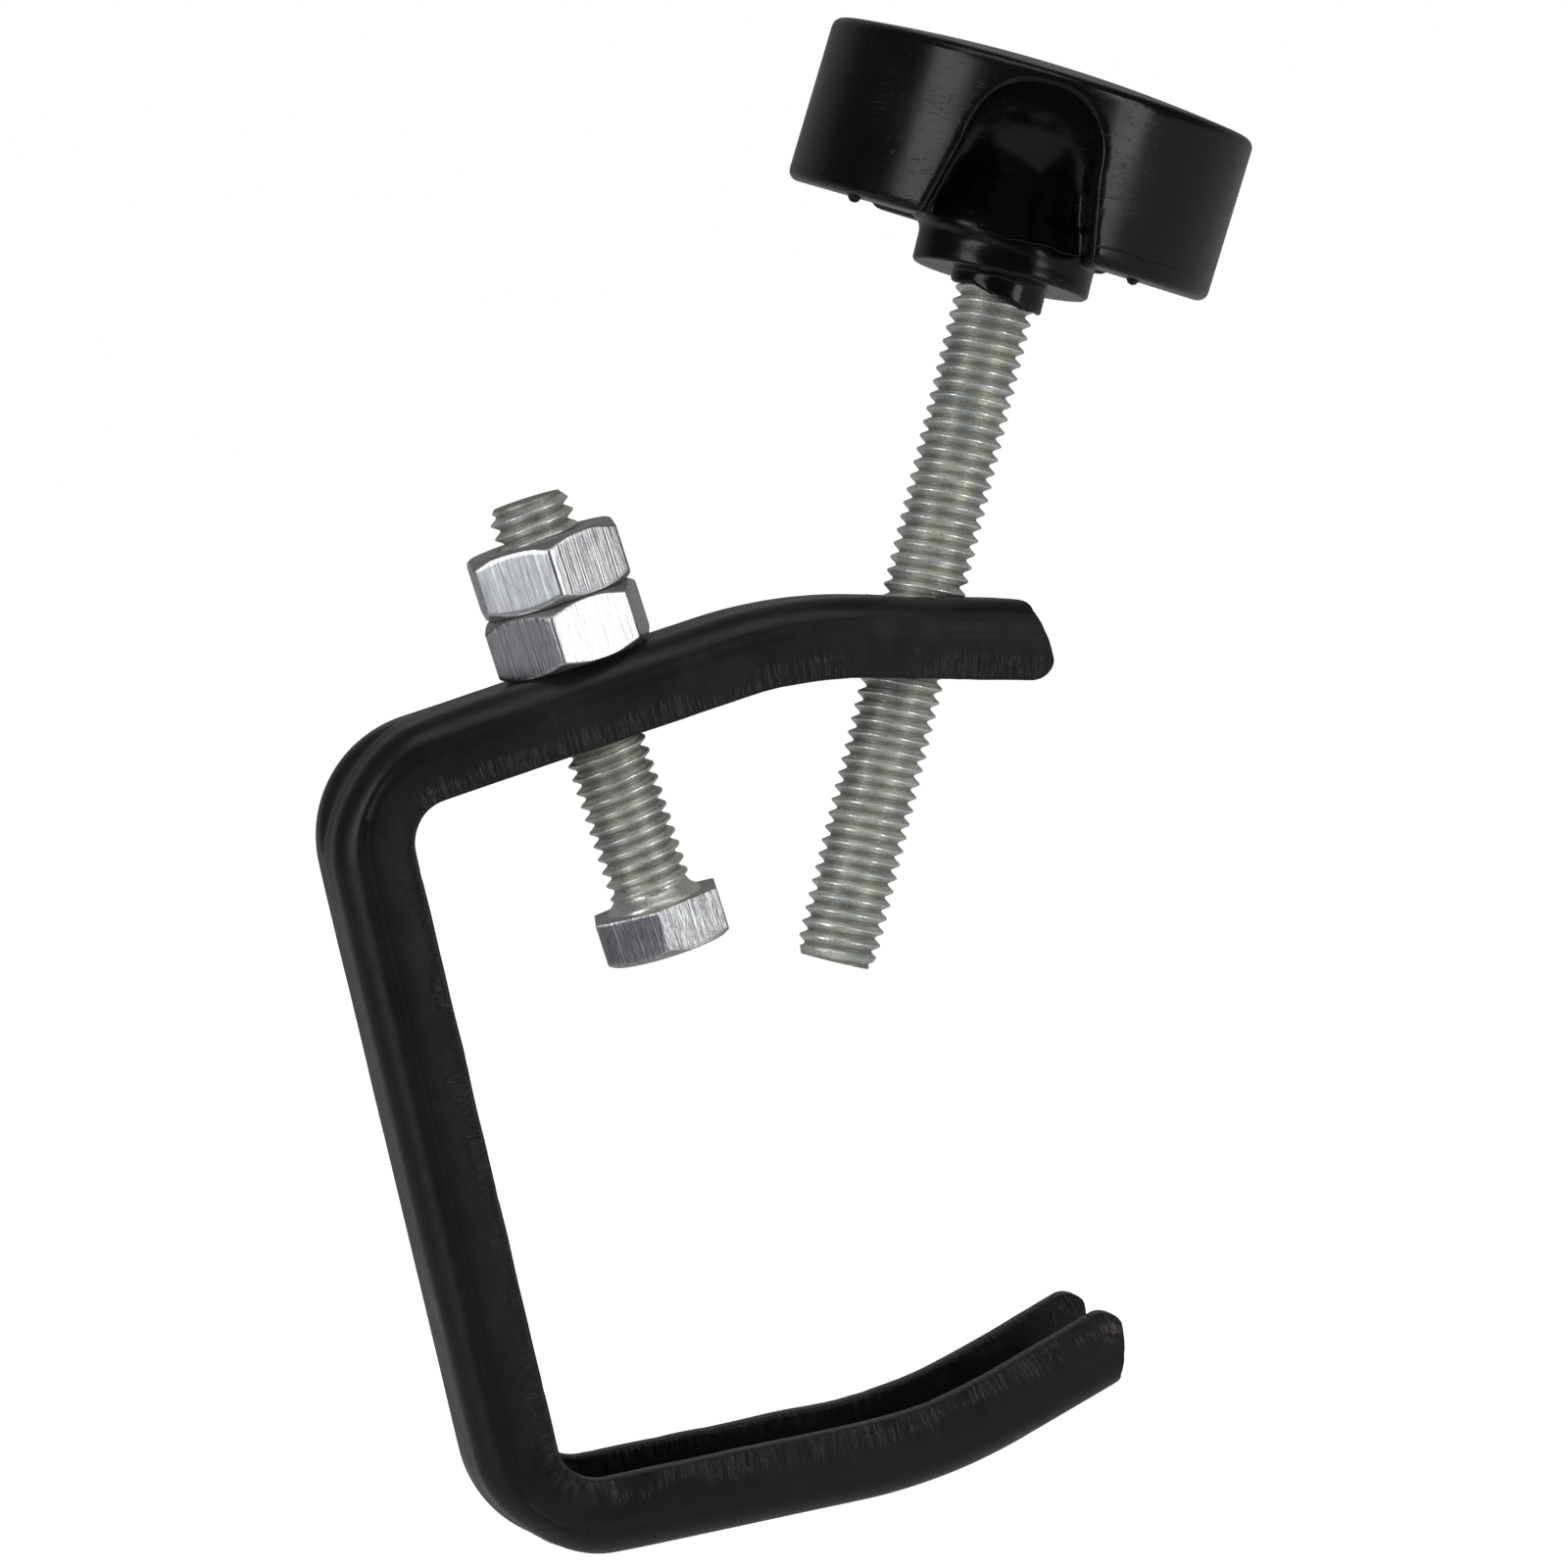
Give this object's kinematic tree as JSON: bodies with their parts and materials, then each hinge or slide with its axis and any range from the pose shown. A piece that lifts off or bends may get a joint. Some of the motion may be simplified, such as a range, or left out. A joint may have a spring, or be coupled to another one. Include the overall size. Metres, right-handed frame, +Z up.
{
  "type": "pipe clamp",
  "caption": "C-shaped pipe clamp of bent channel with a lobed knob on a long clamp screw and a short bolt with nuts for a lamp's yoke.",
  "frame": {"origin": "axis of a 50 mm pipe lying against the spine and the lower arm, midway across the channel", "axes": "+X out of the clamp's open side, +Y across the channel along the pipe, +Z up along the spine"},
  "size_m": [0.1224, 0.0514, 0.1647],
  "materials": {
    "painted_channel": "satin powder coat",
    "zinc_screw": "zinc plated, rolled thread",
    "knob_plastic": "moulded, semi-gloss, lightly scuffed",
    "zinc_bolt": "bright zinc plated",
    "zinc_nut": "bright zinc plated"
  },
  "bodies": {
    "clamp": {"clamp_body": "painted_channel"},
    "bolt": {"yoke_bolt": "zinc_bolt", "lower_nut": "zinc_nut"},
    "nut": {"upper_nut": "zinc_nut"},
    "screw": {"clamp_screw": "zinc_screw"},
    "handle": {"knob": "knob_plastic"}
  },
  "joints": [
    {"name": "bolt_lift", "type": "slide", "parent": "clamp", "child": "bolt", "axis": [-0.0819, 0, 0.9966], "range_m": [0, 0.0193]},
    {"name": "nut_run", "type": "slide", "parent": "bolt", "child": "nut", "axis": [-0.0819, 0, 0.9966], "range_m": [0, 0.007]},
    {"name": "screw_feed", "type": "slide", "parent": "clamp", "child": "screw", "axis": [-0.4571, 0, -0.8894], "range_m": [-0.03731, 0.03175]},
    {"name": "knob_turn", "type": "hinge", "parent": "screw", "child": "handle", "pos_m": [0.02024, 0, 0.0254], "axis": [-0.4571, 0, -0.8894], "range_deg": [-8460, 7200]}
  ],
  "couplings": [
    {"joint": "screw_feed", "follows": "knob_turn", "m_per_rad": 0.00025266}
  ]
}
